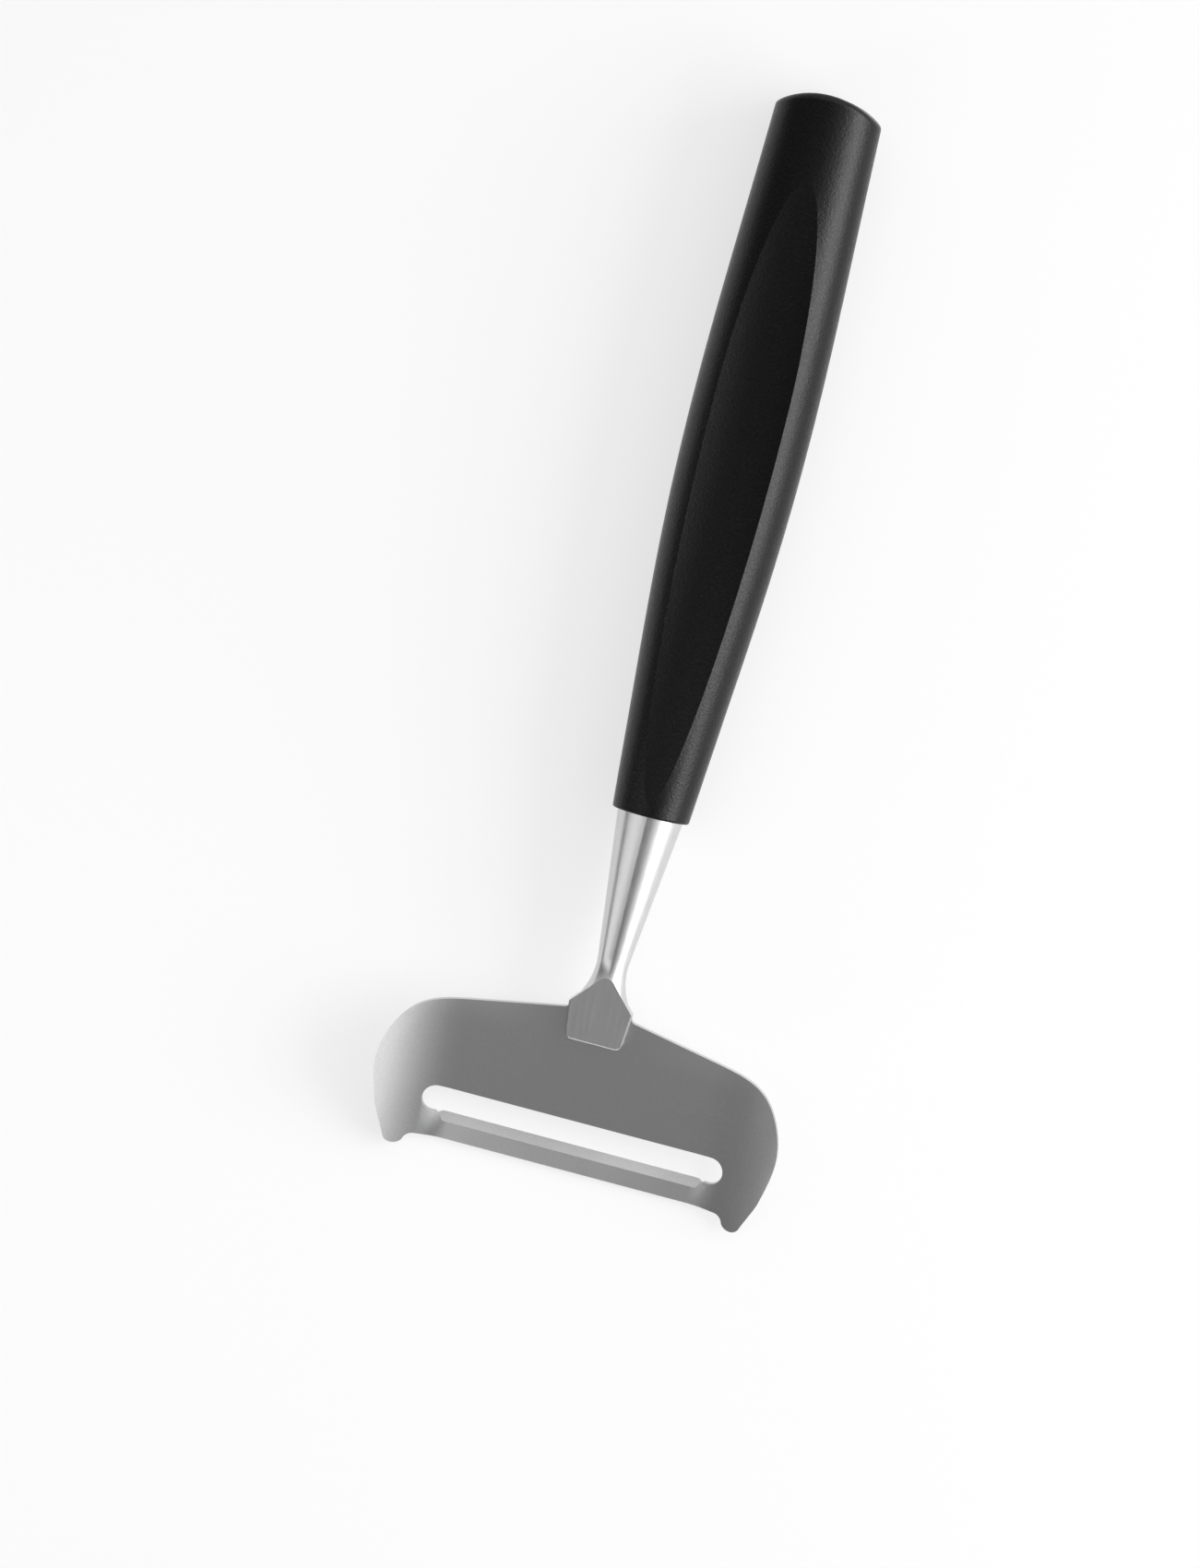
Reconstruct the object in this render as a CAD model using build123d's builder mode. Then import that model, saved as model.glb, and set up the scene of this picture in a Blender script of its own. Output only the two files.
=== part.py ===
from build123d import *
from math import acos, asin, atan2, cos, degrees, hypot, radians, sin, sqrt
import os

# Cheese slicer, millimetres. It lies on a table as it is put down after use: +Y runs from the
# blade's tips to the butt of the handle, +Z is up, and the YZ plane is its plane of symmetry.
# The underside of the cutting bar and the underside of the butt touch the table at Z = 0.
# Stations are plan distances from the front. "Along" and "height" are measured in the blade's
# own tilted frame, from the bar's front edge and from the sheet's flat underside.

# Overall
overall_length = 220.1
head_and_neck_length = 76.0
overrun = 5.0

# Blade: one pressed sheet
sheet_thickness = 1.1
blade_half_width = 40.6
blade_depth = 35.2
bar_front_station = 3.3
bent_side_width = 15.6
arm_bend_radius = 24.0
arm_spare_angle = 3.0
root_half_width = 6.2
root_fillet = 1.2
root_share = 0.952
wing_end_shares = (0.71, 0.826)
side_shares = ((0.877, 0.75), (0.966, 0.609), (1.0, 0.41), (0.966, 0.188))
tip_outer_shares = (0.897, -0.024)
tip_shares = (0.847, -0.072)
tip_inner_shares = (0.803, -0.045)
tip_direction = (-0.42, -1)

# Slot and cutting bar
slot_width = 5.6
notch_width = 2.0
bar_width = 5.3
bar_end_steps = 5
bevel_width = 2.2
bevel_runout = 2.0
cutting_edge_thickness = 0.15

# Neck: cone, waist, trumpet and the tab that lies on the blade
cone_radius = 6.53
waist_radius = 3.12
waist_from_rim = 30.4
trumpet_radius = 12.9
tab_thickness = 1.9
tab_front = 27.7
tab_front_half_width = 5.7
tab_half_width = 6.4
tab_apex_half_width = 0.8
tab_corner_radius = 1.5
tab_edge_chamfer = 0.3
facet_length = 6.3
spigot_radius = 5.2
spigot_length = 12.0
spigot_chamfer = 0.6

# Handle
rim_radius = 7.65
rim_fillet = 0.45
handle_half_width = 12.15
handle_half_height = 10.25
station_shares = (0.1103, 0.2353, 0.361, 0.518, 0.674, 0.831, 0.9885, 1.038)
width_shares = (0.73, 0.8445, 0.942, 1.0, 0.9835, 0.924, 0.864, 0.842)
height_shares = (0.839, 0.927, 0.976, 1.0, 0.976, 0.917, 0.855, 0.832)
contact_share = 0.9
butt_arch_radius = 17.5
butt_fillet = 1.3

# Thumb hollow: one on top and one below
hollow_radius = 24.0
hollow_depth = 3.27
hollow_low_share = 0.5845
hollow_front_reach = 83.0
hollow_front_rise = 0.8
hollow_back_reach = 50.0
hollow_back_rise = 3.27

# Tang rod and its fits
tang_radius = 2.5
tang_length = 62.0
tang_in_neck = 16.0
tang_chamfer = 0.5
groove_count = 3
groove_pitch = 8.0
groove_width = 1.6
groove_depth = 0.4
fit_clearance = 0.05
end_clearance = 0.3

# Spot welds between tab and blade
nugget_radius = 1.6
nugget_spacing = 5.2
nugget_along = 31.6
nugget_bite = 0.5

# Places that follow from the sizes
front = -overall_length / 2
butt = overall_length / 2
rim_y = front + head_and_neck_length
handle_length = overall_length - head_and_neck_length
axis_z = handle_half_height * contact_share
waist_y = rim_y - waist_from_rim
spigot_end_y = rim_y + spigot_length
tang_start_y = spigot_end_y - tang_in_neck

# Trumpet: an arc that leaves the cone smoothly, passes the waist and opens to the tab's width
cone_angle = degrees(atan2(cone_radius - waist_radius, waist_from_rim))
flare_angle = degrees(acos(1 - (tab_half_width - waist_radius) / trumpet_radius))
cone_end_y = waist_y + trumpet_radius * sin(radians(cone_angle))
cone_end_radius = waist_radius + trumpet_radius * (1 - cos(radians(cone_angle)))
shoulder_y = waist_y - trumpet_radius * sin(radians(flare_angle))

# Top of the facet, where the tab's upper plane leaves the round neck
facet_y = shoulder_y + facet_length
facet_rise = trumpet_radius - sqrt(trumpet_radius**2 - (waist_y - facet_y) ** 2)
facet_z = axis_z + waist_radius + facet_rise

# The blade is tilted so that its front edge is on the table while the tab meets the neck
bar_y = front + bar_front_station
reach = hypot(facet_y - bar_y, facet_z)
stack = sheet_thickness + tab_thickness
tilt = atan2(facet_z, facet_y - bar_y) - asin(stack / reach)
tilt_cos = cos(tilt)
tilt_sin = sin(tilt)

# Across the blade: the flat middle, and the slot's end a notch inside the tip
flat_half_width = blade_half_width - bent_side_width
slot_half_length = tip_inner_shares[0] * blade_half_width - notch_width

# Along the blade: the cutting edge, the slot's middle line, the tab's shoulders and the sheet's
# back edge, which meets the end of the trumpet
edge_along = bar_width * tilt_cos
slot_middle = edge_along + slot_width / 2
slot_end_x = slot_half_length - slot_width / 2
shoulder_along = (shoulder_y - bar_y + stack * tilt_sin) / tilt_cos
back_along = (shoulder_y - bar_y) / tilt_cos
bend_share = bent_side_width / (arm_bend_radius - sheet_thickness)
arm_angle = degrees(asin(bend_share)) + arm_spare_angle

# Planes: the blade's flat underside, the section square to its length, the ground bevel and
# sections square to the handle's axis
blade_plane = Plane(origin=(0, bar_y, 0), x_dir=(1, 0, 0), z_dir=(0, -tilt_sin, tilt_cos))
section_plane = Plane(origin=(0, bar_y, 0), x_dir=(1, 0, 0), z_dir=(0, -tilt_cos, -tilt_sin))
bevel_plane = Plane(
    origin=(0, bar_y + bar_width, cutting_edge_thickness),
    x_dir=(1, 0, 0),
    z_dir=(0, sheet_thickness - cutting_edge_thickness, bevel_width),
)
axis_plane = Plane(origin=(0, 0, axis_z), x_dir=(0, 1, 0), z_dir=(1, 0, 0))
handle_axis = Axis((0, 0, axis_z), (0, 1, 0))


def across_axis(y):
    """Plane square to the handle's axis at a place along it."""
    return Plane(origin=(0, y, axis_z), x_dir=(1, 0, 0), z_dir=(0, 1, 0))


def side_point(along, height):
    """Side-view place (y, z) of a point given in the blade's own frame."""
    return (bar_y + along * tilt_cos - height * tilt_sin, along * tilt_sin + height * tilt_cos)


def bend_height(x, radius):
    """Height over the flat underside of the bent sheet's face of the given radius."""
    return arm_bend_radius - sqrt(radius**2 - max(x - flat_half_width, 0) ** 2)


def on_blade(shares):
    """Outline point from shares of the blade's half width and of its depth."""
    return (shares[0] * blade_half_width, shares[1] * blade_depth)


def tab_edges(face):
    """Edges round the front and flanks of the tab's top face: those that lie over the blade."""
    return [edge for edge in face.edges() if (edge @ 0.5).Y < shoulder_y]


def blended(start, end, share):
    """Corners part of the way from one section to another."""
    return [tuple(a + (b - a) * share for a, b in zip(p, q)) for p, q in zip(start, end)]


# Side view of the flat bar, a little deeper than the slot's edge, which trims it
bar_back_y = bar_y + bar_width + sheet_thickness
bar_corners = (
    (bar_y, 0),
    (bar_back_y, 0),
    (bar_back_y, sheet_thickness),
    (bar_y, sheet_thickness),
)

# Bar ends: the flat bar's section is turned into the bent arm's section in even steps
with BuildPart() as bar_end:
    for step in range(bar_end_steps + 1):
        share = step / bar_end_steps
        turned = share * share * (3 - 2 * share)
        x = flat_half_width + (slot_half_length - flat_half_width) * share
        low = bend_height(x, arm_bend_radius)
        high = bend_height(x, arm_bend_radius - sheet_thickness)
        bent_corners = (
            side_point(0, low),
            side_point(slot_middle, low),
            side_point(slot_middle, high),
            side_point(0, high),
        )
        with BuildSketch(Plane.YZ.offset(x)):
            with BuildLine():
                Polyline(*blended(bar_corners, bent_corners, turned), close=True)
            make_face()
    loft()

# Weld nuggets: half of each is in the tab and half in the blade
with BuildPart() as weld_nuggets:
    with BuildSketch(blade_plane.offset(sheet_thickness - nugget_bite)):
        with Locations((0, nugget_along)):
            with GridLocations(nugget_spacing, 0, 2, 1):
                Circle(nugget_radius)
    extrude(amount=2 * nugget_bite)

# Blade
with BuildPart() as blade:
    # Sheet with a flat middle and both sides bent up, as a section carried along the blade
    with BuildSketch(section_plane.offset(-blade_depth - overrun)):
        with BuildLine():
            low_flat = Line((0, 0), (flat_half_width, 0))
            low_bend = JernArc(low_flat @ 1, (1, 0), arm_bend_radius, arm_angle)
            high_flat = Line((0, sheet_thickness), (flat_half_width, sheet_thickness))
            high_bend = JernArc(high_flat @ 1, (1, 0), arm_bend_radius - sheet_thickness, arm_angle)
            Line(low_bend @ 1, high_bend @ 1)
            mirror(about=Plane.YZ)
        make_face()
    extrude(amount=blade_depth + 2 * overrun)
    # Stamped outline
    with BuildSketch(blade_plane) as outline:
        with BuildLine():
            back = Line((0, back_along), (root_half_width, back_along))
            root = Line(back @ 1, (root_half_width, root_share * blade_depth))
            wing = Line(root @ 1, on_blade(wing_end_shares))
            side = Spline(
                wing @ 1,
                *[on_blade(shares) for shares in side_shares],
                on_blade(tip_outer_shares),
                tangents=[wing % 1, tip_direction],
            )
            tip = ThreePointArc(side @ 1, on_blade(tip_shares), on_blade(tip_inner_shares))
            notch = TangentArc((slot_half_length, 0), tip @ 1, tangent=(1, 0))
            Line(notch @ 0, (0, 0))
            mirror(about=Plane.YZ)
        make_face()
        fillet(outline.vertices().group_by(Axis.Y)[-2], radius=root_fillet)
    extrude(amount=arm_bend_radius, both=True, mode=Mode.INTERSECT)
    # Window in front of the slot's middle line, where the bar goes
    with BuildSketch(blade_plane):
        with Locations((0, (slot_middle - overrun) / 2)):
            Rectangle(2 * slot_half_length, slot_middle + overrun)
    extrude(amount=arm_bend_radius, both=True, mode=Mode.SUBTRACT)
    # Cutting bar: flat on the table in the middle, turned up into the arms at its ends
    with BuildSketch(Plane.YZ.offset(-flat_half_width)):
        with BuildLine():
            Polyline(*bar_corners, close=True)
        make_face()
    extrude(amount=2 * flat_half_width)
    add(bar_end.part)
    mirror(bar_end.part, about=Plane.YZ)
    # Slot with round ends
    with BuildSketch(blade_plane):
        with Locations((0, slot_middle)):
            SlotOverall(2 * slot_half_length, slot_width)
    extrude(amount=arm_bend_radius, both=True, mode=Mode.SUBTRACT)
    # Ground bevel that leaves a thin cutting edge and runs out before the slot's ends
    with BuildSketch(bevel_plane):
        with BuildLine():
            Polyline(
                (-slot_end_x, sheet_thickness),
                (slot_end_x, sheet_thickness),
                (slot_end_x, 0),
                (slot_end_x - bevel_runout, -bevel_width),
                (bevel_runout - slot_end_x, -bevel_width),
                (-slot_end_x, 0),
                close=True,
            )
        make_face()
    extrude(amount=2 * sheet_thickness, mode=Mode.SUBTRACT)
    add(weld_nuggets.part, mode=Mode.SUBTRACT)

# Neck
with BuildPart() as neck:
    # Spigot, cone, waist and trumpet, turned about the handle's axis
    with BuildSketch(axis_plane):
        with BuildLine():
            spigot_end = Line((spigot_end_y, 0), (spigot_end_y, spigot_radius))
            spigot = Line(spigot_end @ 1, (rim_y, spigot_radius))
            seat = Line(spigot @ 1, (rim_y, cone_radius))
            cone = Line(seat @ 1, (cone_end_y, cone_end_radius))
            flare = JernArc(cone @ 1, cone % 1, trumpet_radius, -cone_angle - flare_angle)
            flare_end = Line(flare @ 1, ((flare @ 1).X, 0))
            Line(flare_end @ 1, spigot_end @ 0)
        make_face()
    revolve(axis=handle_axis)
    # Tab over the blade
    right_side = (
        (tab_front_half_width, tab_front),
        (tab_half_width, shoulder_along),
        (tab_apex_half_width, shoulder_along + facet_length),
    )
    left_side = [(-x, y) for x, y in reversed(right_side)]
    with BuildSketch(blade_plane.offset(sheet_thickness)) as tab:
        with BuildLine():
            Polyline(*right_side, *left_side, close=True)
        make_face()
        fillet(tab.vertices().group_by(Axis.Y)[0], radius=tab_corner_radius)
    extrude(amount=tab_thickness)
    # Upper press face, level with the tab's top, which leaves the five-sided facet
    with BuildSketch(blade_plane.offset(stack)):
        with Locations((0, shoulder_along)):
            Rectangle(4 * tab_half_width, 4 * facet_length)
    extrude(amount=2 * tab_half_width, mode=Mode.SUBTRACT)
    # Lower press face, rising from the waist to the blade's underside at the shoulders
    with BuildSketch(Plane.YZ):
        with BuildLine():
            Polyline(
                (waist_y, axis_z - waist_radius),
                side_point(shoulder_along, 0),
                side_point(shoulder_along - overrun, 0),
                (shoulder_y - overrun, axis_z - 2 * tab_half_width),
                (waist_y, axis_z - 2 * tab_half_width),
                close=True,
            )
        make_face()
    extrude(amount=2 * tab_half_width, both=True, mode=Mode.SUBTRACT)
    # Chamfer round the tab's front and flanks
    tab_top = neck.faces().filter_by(blade_plane).sort_by(Axis.Z)[-1]
    chamfer(tab_edges(tab_top), length=tab_edge_chamfer)
    # Bore for the tang, and the welds' pockets
    with BuildSketch(across_axis(tang_start_y)):
        Circle(tang_radius + fit_clearance)
    extrude(amount=tang_in_neck + overrun, mode=Mode.SUBTRACT)
    chamfer(neck.faces().sort_by(Axis.Y)[-1].edges().sort_by(SortBy.RADIUS)[-1], length=spigot_chamfer)
    add(weld_nuggets.part, mode=Mode.SUBTRACT)

# Tang: a rod with grooves that lock it in the handle
with BuildPart() as tang:
    with BuildSketch(across_axis(tang_start_y)):
        Circle(tang_radius)
    extrude(amount=tang_length)
    chamfer(tang.edges(), length=tang_chamfer)
    for index in range(groove_count):
        with BuildSketch(across_axis(tang_start_y + tang_length - (index + 1) * groove_pitch)):
            Circle(tang_radius + overrun)
            Circle(tang_radius - groove_depth, mode=Mode.SUBTRACT)
        extrude(amount=groove_width, mode=Mode.SUBTRACT)

# Thumb hollow's cutter: a round section swept along two arcs that meet at the lowest point
with BuildPart() as hollow_cutter:
    hollow_low_y = rim_y + hollow_low_share * handle_length
    hollow_centre_z = axis_z + handle_half_height - hollow_depth + hollow_radius
    low_point = (0, hollow_low_y, hollow_centre_z)
    front_point = (0, hollow_low_y - hollow_front_reach, hollow_centre_z + hollow_front_rise)
    back_point = (0, hollow_low_y + hollow_back_reach, hollow_centre_z + hollow_back_rise)
    with BuildLine() as hollow_path:
        TangentArc(low_point, front_point, tangent=(0, -1, 0))
        TangentArc(low_point, back_point, tangent=(0, 1, 0))
    hollow_wire = hollow_path.wires()[0]
    with BuildSketch(Plane(origin=hollow_wire @ 0, z_dir=hollow_wire % 0)):
        Circle(hollow_radius)
    sweep(path=hollow_wire)

# Handle
with BuildPart() as handle:
    # Oval body through sections that swell and narrow again
    with BuildSketch(across_axis(rim_y)):
        Ellipse(rim_radius, rim_radius)
    for station, width, height in zip(station_shares, width_shares, height_shares):
        with BuildSketch(across_axis(rim_y + station * handle_length)):
            Ellipse(width * handle_half_width, height * handle_half_height)
    loft()
    # Arched butt, as seen from above
    with BuildSketch(Plane.XY):
        with Locations((0, butt - butt_arch_radius)):
            Circle(butt_arch_radius)
        with Locations((0, (rim_y + butt - butt_arch_radius) / 2)):
            Rectangle(2 * butt_arch_radius, butt - butt_arch_radius - rim_y)
    extrude(amount=4 * handle_half_height, both=True, mode=Mode.INTERSECT)
    fillet(handle.faces().sort_by(Axis.Y)[-1].edges(), radius=butt_fillet)
    fillet(handle.faces().sort_by(Axis.Y)[0].edges(), radius=rim_fillet)
    # Thumb hollows, top and underside
    add(hollow_cutter.part, mode=Mode.SUBTRACT)
    mirror(hollow_cutter.part, about=Plane.XY.offset(axis_z), mode=Mode.SUBTRACT)
    # Socket for the spigot and bore for the tang
    with BuildSketch(across_axis(rim_y - overrun)):
        Circle(spigot_radius + fit_clearance)
    extrude(amount=overrun + spigot_length + end_clearance, mode=Mode.SUBTRACT)
    with BuildSketch(across_axis(rim_y)):
        Circle(tang_radius + fit_clearance)
    extrude(amount=tang_start_y + tang_length + end_clearance - rim_y, mode=Mode.SUBTRACT)

pieces = {
    "blade": blade,
    "neck": neck,
    "weld_nuggets": weld_nuggets,
    "tang": tang,
    "handle": handle,
}
os.makedirs("parts", exist_ok=True)
for name, piece in pieces.items():
    piece.part.label = name
    export_step(piece.part, f"parts/{name}.step")
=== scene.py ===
from math import cos, pi, radians, sin

import bpy
from mathutils import Matrix, Vector

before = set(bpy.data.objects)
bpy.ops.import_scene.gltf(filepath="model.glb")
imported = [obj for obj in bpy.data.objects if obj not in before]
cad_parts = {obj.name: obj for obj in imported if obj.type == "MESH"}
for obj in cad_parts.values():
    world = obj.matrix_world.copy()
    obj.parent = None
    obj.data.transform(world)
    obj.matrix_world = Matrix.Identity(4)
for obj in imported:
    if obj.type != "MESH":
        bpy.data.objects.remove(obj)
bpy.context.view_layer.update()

# Looks of the cheese slicer: satin blade, polished neck, grained black handle. Metres.
# +Y runs from the blade's tips to the butt of the handle, +Z is up.

MM = 0.001

# View: almost straight above, a little from the butt's side and from the right
FRAME_HEIGHT = 306 * MM
VIEW_TARGET = Vector((-11.2, -30.65, 9.2)) * MM
VIEW_DISTANCE = 1.6
VIEW_TILT = radians(4.2)
VIEW_ROLL = radians(5.5)
IMAGE_TURN = radians(14.25)
SENSOR_HEIGHT = 24.0

# Brightness of the room from all sides, and what the front, the right and the rear add to it
ROOM_DIM = 0.08
ROOM_FRONT = 0.15
ROOM_RIGHT = 1.0
ROOM_REAR = 0.52

# Where the added light begins and where it is full, as parts of a direction's unit vector: along the
# way that the light comes from, and for the front and the right also across that way
FRONT_EDGES = (0.15, 0.5)
FRONT_SIDE_EDGES = (-0.75, 0.0)
RIGHT_EDGES = (0.05, 0.8)
RIGHT_SIDE_EDGES = (-0.6, -0.3)
REAR_EDGES = (0.04, 0.34)

# Lamps: place, aim, size and brightness
LAMPS = {
    "right lamp": ((0.8, 0.12, 0.36), (0, 0, 0), (0.8, 0.5), 5.9),
    "left lamp": ((-0.23, -0.145, 0.28), (0, -0.085, 0), (0.1, 0.52), 1.4),
    "front lamp": ((0.0, -0.9, 0.2), (0, -0.1, 0), (0.8, 0.2), 2.6),
    "rear lamp": ((0.0, 1.0, 0.7), (0, 0, 0), (1.2, 0.6), 0.7),
}

# Floor: half its width, how far it lies under the slicer, its share of plain white as it is seen, its
# colours, the scale of its clouds and its roughness
FLOOR_HALF = 3.0
FLOOR_DROP = 0.05 * MM
FLOOR_LIFT = 0.66
FLOOR_DARK = (0.93, 0.93, 0.93, 1)
FLOOR_PALE = (0.95, 0.95, 0.95, 1)
FLOOR_CLOUDS = 3.0
FLOOR_ROUGHNESS = 0.9
WHITE = (1, 1, 1, 1)

# Blade's own frame: its bar's front edge, its tilt, and the height of the tab's top over it
BAR_FRONT = Vector((0.0, -106.75, 0.0)) * MM
BLADE_TILT = radians(13.315)
TAB_HEIGHT = 3.0 * MM

# Painted highlight: a band along the blade's back edge, away from the tab, painted brighter to stand in
# for the light that the edge reflects. Each pair says where it begins and where it is full, across and
# along the blade.
HIGHLIGHT_ACROSS_EDGES = (6.0 * MM, 28.0 * MM)
HIGHLIGHT_ALONG_EDGES = (24.0 * MM, 36.0 * MM)

# Greys of the steels, and the faint blue that all of them have
STEEL_BLUE = 0.005
BLADE_DARK = 0.5
BLADE_PALE = 0.62
# Painted highlight: grey of the band along the blade's back edge, brighter in place of reflected light
BLADE_PAINTED_HIGHLIGHT = 0.78
BLADE_SPECKLE = 0.7
BLADE_SPECKLE_SHARE = 0.25
NECK_DARK = 0.64
NECK_PALE = 0.7
TAB_DARK = 0.72
TAB_PALE = 0.76
INNER_DARK = 0.45
INNER_PALE = 0.52

# Blacks of the handle, and how strongly it reflects
HANDLE_DARK = (0.0002, 0.0002, 0.0002, 1)
HANDLE_PALE = (0.004, 0.004, 0.0041, 1)
HANDLE_GLOSS = 0.3

# Roughness where a pattern's mask is 0 and where it is 1, and what the tab's top adds
BLADE_ROUGHNESS = (0.4, 0.33)
NECK_ROUGHNESS = (0.29, 0.33)
TAB_ADDED_ROUGHNESS = 0.05
INNER_ROUGHNESS = (0.38, 0.46)
HANDLE_ROUGHNESS = (0.35, 0.27)

# Scale of the grain, the clouds and the brush lines, per metre
BLADE_GRAIN = 2600.0
BLADE_CLOUDS = 38.0
HANDLE_GRAIN = 1900.0
NECK_LINES = (2600.0, 45.0, 2600.0)
TAB_LINES = (3800.0, 110.0, 200.0)
INNER_LINES = (40.0, 3000.0, 40.0)

# Relief: its strength and its depth
BLADE_RELIEF = (0.22, 0.02 * MM)
NECK_RELIEF = (0.2, 0.004 * MM)
HANDLE_RELIEF = (1.0, 0.1 * MM)

# Fine grain: how much finer its second noise is, and the share of each noise in its height
FINER = 2.3
COARSE_SHARE = 0.7
FINE_SHARE = 0.3

# Where each mask made from noise begins and where it is full
SPECKLE_EDGES = (0.42, 0.66)
STREAK_EDGES = (0.35, 0.68)
CLOUD_EDGES = (0.3, 0.7)

# Distance from the height of the tab's top at which its own brush lines end and are full
TAB_TOP_EDGES = (0.12 * MM, 0.04 * MM)


# Shader node helpers
def add_node(tree, kind, settings=None, **values):
    """New node with its settings and input values. A value that is a socket is linked, and i0, i1 and
    so on name an input by its number."""
    made = tree.nodes.new(kind)
    for name, value in (settings or {}).items():
        setattr(made, name, value)
    for name, value in values.items():
        key = int(name[1:]) if name[0] == "i" and name[1:].isdigit() else name.replace("_", " ")
        if isinstance(value, bpy.types.NodeSocket):
            tree.links.new(value, made.inputs[key])
        else:
            made.inputs[key].default_value = value
    return made


def math_node(tree, operation, first, second=0.0, third=0.0, clamp=False):
    """Result of one arithmetic step on two or three values."""
    settings = {"operation": operation, "use_clamp": clamp}
    return add_node(tree, "ShaderNodeMath", settings, i0=first, i1=second, i2=third).outputs[0]


def noise(tree, place, scale, detail=2.0, roughness=0.5):
    """Noise over a place."""
    made = add_node(
        tree, "ShaderNodeTexNoise", None,
        Vector=place, Scale=scale, Detail=detail, Roughness=roughness,
    )
    return made.outputs[0]


def ramp_mask(tree, value, edges):
    """0 at the first edge, 1 at the second, and smooth between them."""
    made = add_node(
        tree, "ShaderNodeMapRange", {"interpolation_type": "SMOOTHSTEP"},
        Value=value, From_Min=edges[0], From_Max=edges[1],
    )
    return made.outputs["Result"]


def colour_between(tree, mask, first, second):
    """Colour or value that goes from the first to the second as the mask goes from 0 to 1."""
    made = add_node(tree, "ShaderNodeMix", {"data_type": "RGBA"}, i0=mask, i6=first, i7=second)
    return made.outputs[2]


def value_between(tree, mask, ends):
    """Value that goes from the first end to the second as the mask goes from 0 to 1."""
    made = add_node(tree, "ShaderNodeMapRange", None, Value=mask, To_Min=ends[0], To_Max=ends[1])
    return made.outputs["Result"]


def parts_of(tree, vector):
    """The X, Y and Z of a vector."""
    return add_node(tree, "ShaderNodeSeparateXYZ", None, Vector=vector).outputs


def steel_grey(level):
    """Colour of steel of the given grey."""
    return (level, level, level + STEEL_BLUE, 1)


def new_group(name, inputs, outputs):
    """Empty node group with named sockets and the nodes that carry them."""
    group = bpy.data.node_groups.new(name, "ShaderNodeTree")
    for socket_name, socket_kind, default in inputs:
        socket = group.interface.new_socket(socket_name, in_out="INPUT", socket_type=socket_kind)
        socket.default_value = default
    for socket_name, socket_kind in outputs:
        group.interface.new_socket(socket_name, in_out="OUTPUT", socket_type=socket_kind)
    return group, group.nodes.new("NodeGroupInput"), group.nodes.new("NodeGroupOutput")


def fine_grain_group():
    """Fine grain of a blasted or moulded surface: a height and a speckle mask."""
    group, given, result = new_group(
        "fine grain",
        [("Scale", "NodeSocketFloat", 1000.0)],
        [("Height", "NodeSocketFloat"), ("Speckle", "NodeSocketFloat")],
    )
    place = object_place(group)
    scale = given.outputs["Scale"]
    coarse = noise(group, place, scale, detail=3.0, roughness=0.6)
    fine = noise(group, place, math_node(group, "MULTIPLY", scale, FINER))
    fine_part = math_node(group, "MULTIPLY", fine, FINE_SHARE)
    height = math_node(group, "MULTIPLY_ADD", coarse, COARSE_SHARE, fine_part)
    group.links.new(height, result.inputs["Height"])
    group.links.new(ramp_mask(group, coarse, SPECKLE_EDGES), result.inputs["Speckle"])
    return group


def brush_lines_group():
    """Fine lines left by brushing along one direction: a height and a streak mask."""
    group, given, result = new_group(
        "brush lines",
        [
            ("Place", "NodeSocketVector", (0.0, 0.0, 0.0)),
            ("Density", "NodeSocketVector", (2500.0, 30.0, 2500.0)),
        ],
        [("Height", "NodeSocketFloat"), ("Streak", "NodeSocketFloat")],
    )
    stretched = add_node(
        group, "ShaderNodeVectorMath", {"operation": "MULTIPLY"},
        i0=given.outputs["Place"], i1=given.outputs["Density"],
    )
    lines = noise(group, stretched.outputs[0], 1.0, detail=4.0, roughness=0.65)
    group.links.new(lines, result.inputs["Height"])
    group.links.new(ramp_mask(group, lines, STREAK_EDGES), result.inputs["Streak"])
    return group


def new_material(name):
    """Material with an empty tree, its shader and its output."""
    material = bpy.data.materials.new(name)
    material.use_nodes = True
    tree = material.node_tree
    tree.nodes.clear()
    shader = tree.nodes.new("ShaderNodeBsdfPrincipled")
    output = tree.nodes.new("ShaderNodeOutputMaterial")
    tree.links.new(shader.outputs[0], output.inputs["Surface"])
    return material, tree, shader


def new_steel(name):
    """Metal material with an empty tree and its shader."""
    material, tree, shader = new_material(name)
    shader.inputs["Metallic"].default_value = 1.0
    return material, tree, shader


def use_group(tree, group, **values):
    """Group placed in a material with its own values; a value that is a socket is linked."""
    made = tree.nodes.new("ShaderNodeGroup")
    made.node_tree = group
    for name, value in values.items():
        if isinstance(value, bpy.types.NodeSocket):
            tree.links.new(value, made.inputs[name])
        else:
            made.inputs[name].default_value = value
    return made


def object_place(tree):
    """Place of the shaded point in the shared frame."""
    return tree.nodes.new("ShaderNodeTexCoord").outputs["Object"]


def blade_place(tree):
    """Place in the blade's own frame: x across, y along from the bar's front, z over the underside."""
    shifted = add_node(
        tree, "ShaderNodeVectorMath", {"operation": "SUBTRACT"}, i0=object_place(tree), i1=BAR_FRONT
    )
    turned = add_node(
        tree, "ShaderNodeVectorRotate", {"rotation_type": "X_AXIS"},
        Vector=shifted.outputs[0], Angle=-BLADE_TILT,
    )
    return turned.outputs[0]


def bumped(tree, shader, height, relief):
    """Feeds a height to the shader as fine relief of the given strength and depth."""
    strength, depth = relief
    made = add_node(tree, "ShaderNodeBump", None, Height=height, Strength=strength, Distance=depth)
    tree.links.new(made.outputs[0], shader.inputs["Normal"])


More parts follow.
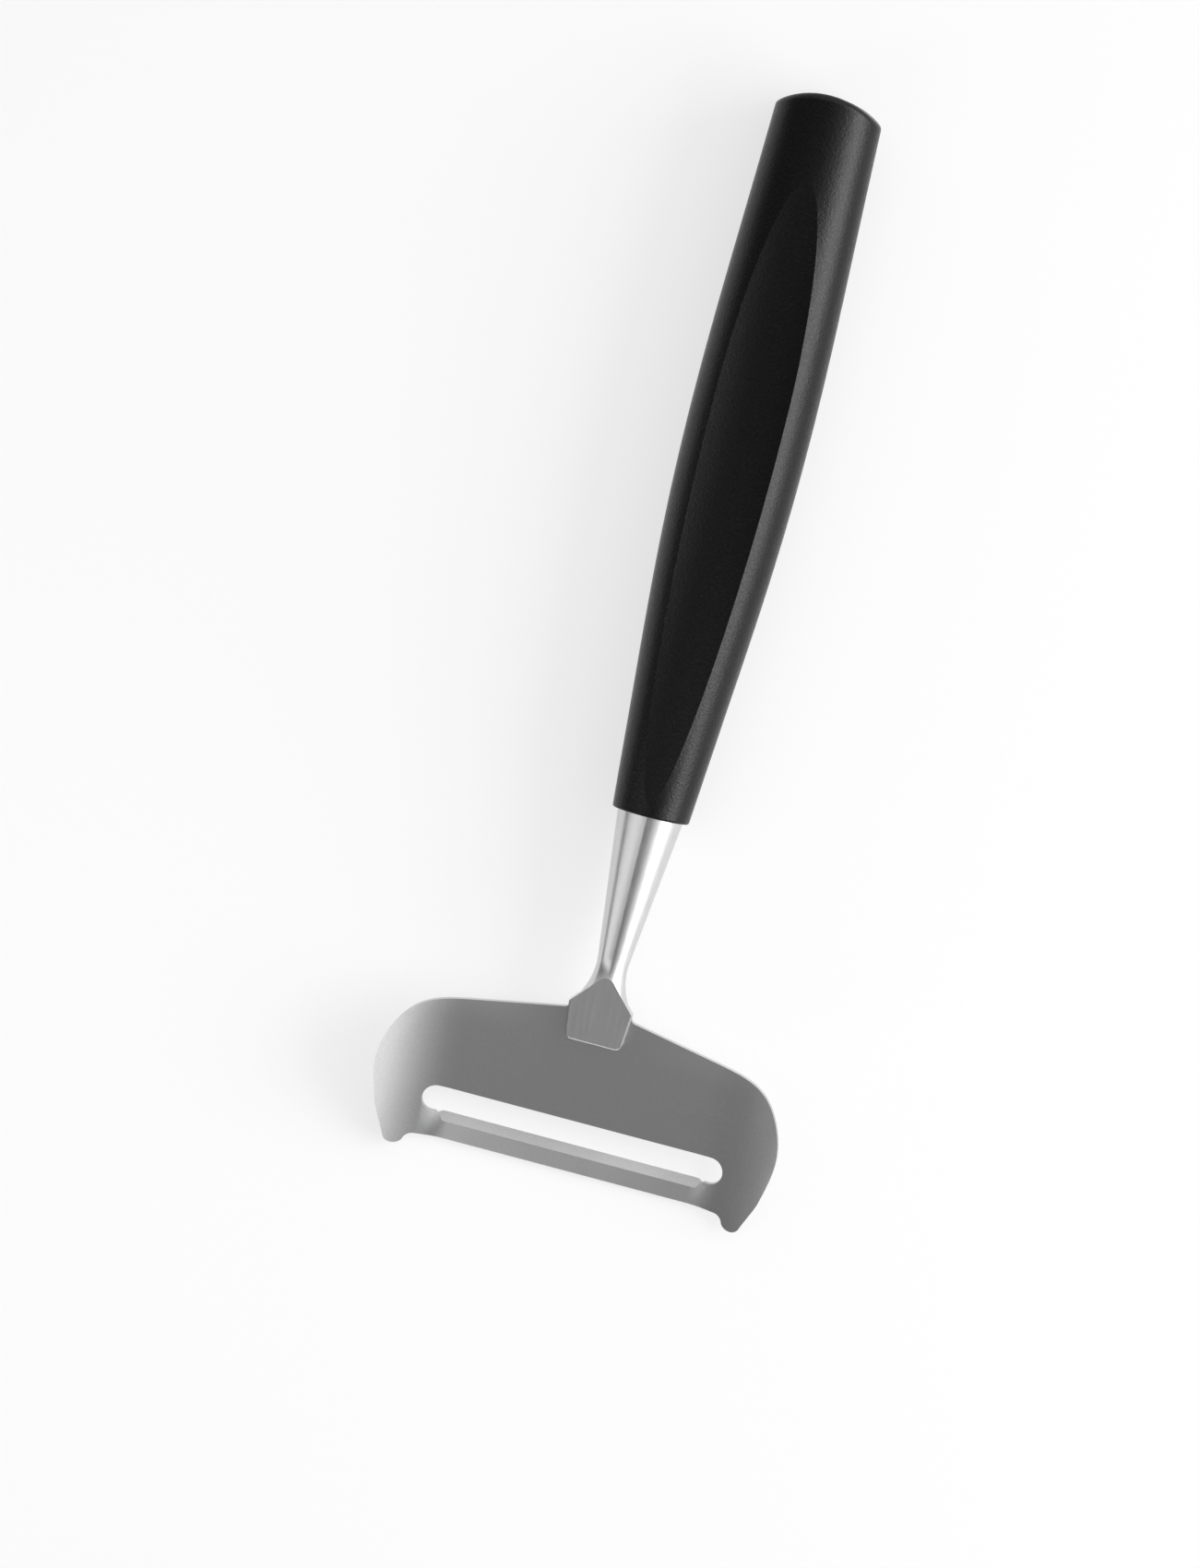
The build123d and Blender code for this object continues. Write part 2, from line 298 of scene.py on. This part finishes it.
def blade_finish():
    """Satin blasted sheet with faint clouds, and a painted highlight: a band along its back edge beside
    the tab, painted brighter in place of reflected light.
    """
    material, tree, shader = new_steel("satin blade steel")
    grain = use_group(tree, FINE_GRAIN, Scale=BLADE_GRAIN)
    cloud = ramp_mask(tree, noise(tree, object_place(tree), BLADE_CLOUDS, detail=3.0), CLOUD_EDGES)
    parts = parts_of(tree, blade_place(tree))
    # Painted highlight: mask of the band along the back edge, away from the tab, where the steel is
    # painted brighter in place of reflected light
    highlight_off_middle = ramp_mask(tree, math_node(tree, "ABSOLUTE", parts["X"]), HIGHLIGHT_ACROSS_EDGES)
    painted_highlight = math_node(tree, "MULTIPLY", ramp_mask(tree, parts["Y"], HIGHLIGHT_ALONG_EDGES), highlight_off_middle)
    steel = colour_between(tree, cloud, steel_grey(BLADE_DARK), steel_grey(BLADE_PALE))
    steel = colour_between(tree, painted_highlight, steel, steel_grey(BLADE_PAINTED_HIGHLIGHT))
    speckle = math_node(tree, "MULTIPLY", grain.outputs["Speckle"], BLADE_SPECKLE_SHARE)
    steel = colour_between(tree, speckle, steel, steel_grey(BLADE_SPECKLE))
    tree.links.new(steel, shader.inputs["Base Color"])
    tree.links.new(value_between(tree, cloud, BLADE_ROUGHNESS), shader.inputs["Roughness"])
    bumped(tree, shader, grain.outputs["Height"], BLADE_RELIEF)
    return material


def neck_finish():
    """Satin steel: polished along the round neck, brushed along the flat top of the tab."""
    material, tree, shader = new_steel("polished neck steel")
    place = blade_place(tree)
    round_lines = use_group(tree, BRUSH_LINES, Place=object_place(tree), Density=NECK_LINES).outputs
    flat_lines = use_group(tree, BRUSH_LINES, Place=place, Density=TAB_LINES).outputs
    off_top = math_node(tree, "SUBTRACT", parts_of(tree, place)["Z"], TAB_HEIGHT)
    on_top = ramp_mask(tree, math_node(tree, "ABSOLUTE", off_top), TAB_TOP_EDGES)
    streak = colour_between(tree, on_top, round_lines["Streak"], flat_lines["Streak"])
    dark = colour_between(tree, on_top, steel_grey(NECK_DARK), steel_grey(TAB_DARK))
    pale = colour_between(tree, on_top, steel_grey(NECK_PALE), steel_grey(TAB_PALE))
    tree.links.new(colour_between(tree, streak, dark, pale), shader.inputs["Base Color"])
    rough = value_between(tree, streak, NECK_ROUGHNESS)
    rough = math_node(tree, "MULTIPLY_ADD", on_top, TAB_ADDED_ROUGHNESS, rough)
    tree.links.new(rough, shader.inputs["Roughness"])
    lines = colour_between(tree, on_top, round_lines["Height"], flat_lines["Height"])
    bumped(tree, shader, lines, NECK_RELIEF)
    return material


def inner_finish():
    """Plain turned steel of the pieces that lie inside."""
    material, tree, shader = new_steel("plain inner steel")
    streak = use_group(
        tree, BRUSH_LINES, Place=object_place(tree), Density=INNER_LINES
    ).outputs["Streak"]
    steel = colour_between(tree, streak, steel_grey(INNER_DARK), steel_grey(INNER_PALE))
    tree.links.new(steel, shader.inputs["Base Color"])
    tree.links.new(value_between(tree, streak, INNER_ROUGHNESS), shader.inputs["Roughness"])
    return material


def handle_finish():
    """Matte black moulding with a fine spark-eroded grain."""
    material, tree, shader = new_material("grained black plastic")
    grain = use_group(tree, FINE_GRAIN, Scale=HANDLE_GRAIN).outputs
    black = colour_between(tree, grain["Speckle"], HANDLE_DARK, HANDLE_PALE)
    tree.links.new(black, shader.inputs["Base Color"])
    tree.links.new(value_between(tree, grain["Speckle"], HANDLE_ROUGHNESS), shader.inputs["Roughness"])
    shader.inputs["Specular IOR Level"].default_value = HANDLE_GLOSS
    bumped(tree, shader, grain["Height"], HANDLE_RELIEF)
    return material


def dress(name, material):
    """Gives a node of the frame its finish."""
    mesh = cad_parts[name].data
    mesh.materials.clear()
    mesh.materials.append(material)


def floor_finish():
    """Pale matte floor with faint clouds. Seen by the camera or in a reflection, it is lifted towards
    white and keeps its shadows."""
    material, tree, shader = new_material("pale floor")
    shader.inputs["Roughness"].default_value = FLOOR_ROUGHNESS
    shader.inputs["Specular IOR Level"].default_value = 0.0
    cloud = noise(tree, object_place(tree), FLOOR_CLOUDS)
    tree.links.new(colour_between(tree, cloud, FLOOR_DARK, FLOOR_PALE), shader.inputs["Base Color"])
    ways = tree.nodes.new("ShaderNodeLightPath").outputs
    seen = math_node(tree, "ADD", ways["Is Camera Ray"], ways["Is Glossy Ray"], clamp=True)
    seen = math_node(tree, "ADD", seen, ways["Is Transmission Ray"], clamp=True)
    white = add_node(tree, "ShaderNodeEmission", None, Color=WHITE, Strength=1.0)
    lift = math_node(tree, "MULTIPLY", seen, FLOOR_LIFT)
    lifted = add_node(
        tree, "ShaderNodeMixShader", None, i0=lift, i1=shader.outputs[0], i2=white.outputs[0]
    )
    output = next(found for found in tree.nodes if found.bl_idname == "ShaderNodeOutputMaterial")
    tree.links.new(lifted.outputs[0], output.inputs["Surface"])
    return material


def pale_floor():
    """Wide flat square under the slicer."""
    low, high = -FLOOR_HALF, FLOOR_HALF
    corners = [(low, low, 0), (high, low, 0), (high, high, 0), (low, high, 0)]
    mesh = bpy.data.meshes.new("floor")
    mesh.from_pydata(corners, [], [(0, 1, 2, 3)])
    mesh.materials.append(floor_finish())
    floor = bpy.data.objects.new("floor", mesh)
    bpy.context.scene.collection.objects.link(floor)
    floor.location.z = -FLOOR_DROP


def soft_lamp(name, place, aim, size, radiance):
    """Soft rectangular lamp of the given brightness, aimed at a point."""
    lamp = bpy.data.lights.new(name, "AREA")
    lamp.shape = "RECTANGLE"
    lamp.size, lamp.size_y = size
    lamp.energy = radiance * pi * size[0] * size[1]
    holder = bpy.data.objects.new(name, lamp)
    bpy.context.scene.collection.objects.link(holder)
    holder.location = place
    holder.rotation_euler = (Vector(aim) - Vector(place)).to_track_quat("-Z", "Y").to_euler()


def room_light():
    """Dim light from all round, with more from the front (-Y), the right (+X) and the rear (+Y)."""
    world = bpy.data.worlds.new("room")
    bpy.context.scene.world = world
    world.use_nodes = True
    tree = world.node_tree
    way = parts_of(tree, tree.nodes.new("ShaderNodeTexCoord").outputs["Generated"])
    forwards = math_node(tree, "MULTIPLY", way["Y"], -1.0)
    sides = (
        (ROOM_FRONT, ramp_mask(tree, forwards, FRONT_EDGES), ramp_mask(tree, way["X"], FRONT_SIDE_EDGES)),
        (ROOM_RIGHT, ramp_mask(tree, way["X"], RIGHT_EDGES), ramp_mask(tree, way["Y"], RIGHT_SIDE_EDGES)),
        (ROOM_REAR, ramp_mask(tree, way["Y"], REAR_EDGES), 1.0),
    )
    level = ROOM_DIM
    for strength, along, across in sides:
        share = math_node(tree, "MULTIPLY", along, across)
        level = math_node(tree, "MULTIPLY_ADD", share, strength, level)
    tree.links.new(level, tree.nodes["Background"].inputs["Color"])


def overhead_camera():
    """Camera along the view's normal, turned in its own plane."""
    right = Vector((cos(VIEW_ROLL), 0, -sin(VIEW_ROLL)))
    towards = Vector((sin(VIEW_ROLL) * cos(VIEW_TILT), sin(VIEW_TILT), cos(VIEW_ROLL) * cos(VIEW_TILT)))
    up = towards.cross(right)
    image_right = cos(IMAGE_TURN) * right + sin(IMAGE_TURN) * up
    image_up = cos(IMAGE_TURN) * up - sin(IMAGE_TURN) * right
    lens = bpy.data.cameras.new("camera")
    lens.sensor_fit = "VERTICAL"
    lens.sensor_height = SENSOR_HEIGHT
    lens.lens = SENSOR_HEIGHT * VIEW_DISTANCE / FRAME_HEIGHT
    camera = bpy.data.objects.new("camera", lens)
    bpy.context.scene.collection.objects.link(camera)
    turn = Matrix((image_right, image_up, towards)).transposed()
    camera.matrix_world = Matrix.Translation(VIEW_TARGET + towards * VIEW_DISTANCE) @ turn.to_4x4()
    bpy.context.scene.camera = camera


FINE_GRAIN = fine_grain_group()
BRUSH_LINES = brush_lines_group()
inner_steel = inner_finish()
dress("blade", blade_finish())
dress("neck", neck_finish())
dress("handle", handle_finish())
dress("tang", inner_steel)
dress("weld_nuggets", inner_steel)

pale_floor()
room_light()
for lamp_name, lamp_values in LAMPS.items():
    soft_lamp(lamp_name, *lamp_values)
overhead_camera()
bpy.context.scene.view_settings.view_transform = "Standard"
